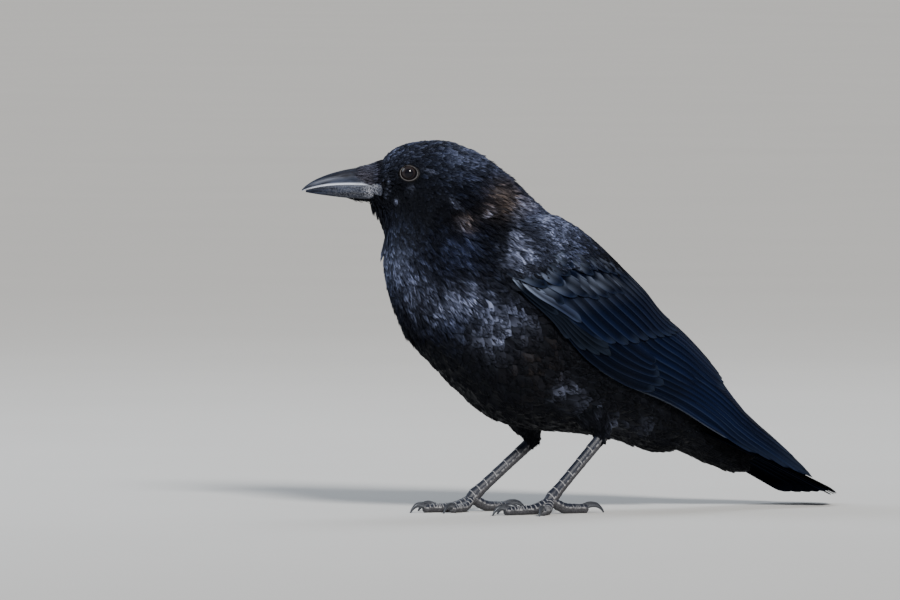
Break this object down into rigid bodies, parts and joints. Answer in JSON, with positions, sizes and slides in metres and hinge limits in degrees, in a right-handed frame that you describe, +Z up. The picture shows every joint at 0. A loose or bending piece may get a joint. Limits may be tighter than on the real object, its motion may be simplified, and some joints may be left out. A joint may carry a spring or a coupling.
{
  "type": "crow",
  "caption": "Standing American crow as a still life-size model, wings folded, tail low and head turned to its right.",
  "frame": {"origin": "on the floor, below the centre of the box around the whole bird", "axes": "-X the way the body faces, +Y the bird's right side, +Z up"},
  "size_m": [0.36, 0.1214, 0.242],
  "materials": {
    "plumage": "satin",
    "flight": "satin",
    "bill": "satin",
    "eye": "gloss",
    "scale": "satin",
    "claw": "satin"
  },
  "bodies": {
    "root": {"head": "plumage", "neck": "plumage", "trunk": "plumage", "thigh_left": "plumage", "thigh_right": "plumage", "wing_left_shoulder": "flight", "wing_left_hand": "flight", "wing_left_secondaries": "flight", "wing_left_primaries": "flight", "wing_right_shoulder": "flight", "wing_right_hand": "flight", "wing_right_secondaries": "flight", "wing_right_primaries": "flight", "tail": "flight", "bill_upper": "bill", "bill_lower": "bill", "eye_left": "eye", "eye_right": "eye", "tarsus_left": "scale", "tarsus_right": "scale", "toe_left_middle": "scale", "toe_left_inner": "scale", "toe_left_outer": "scale", "toe_left_hind": "scale", "toe_right_middle": "scale", "toe_right_inner": "scale", "toe_right_outer": "scale", "toe_right_hind": "scale", "claw_left_middle": "claw", "claw_left_inner": "claw", "claw_left_outer": "claw", "claw_left_hind": "claw", "claw_right_middle": "claw", "claw_right_inner": "claw", "claw_right_outer": "claw", "claw_right_hind": "claw"}
  },
  "joints": []
}
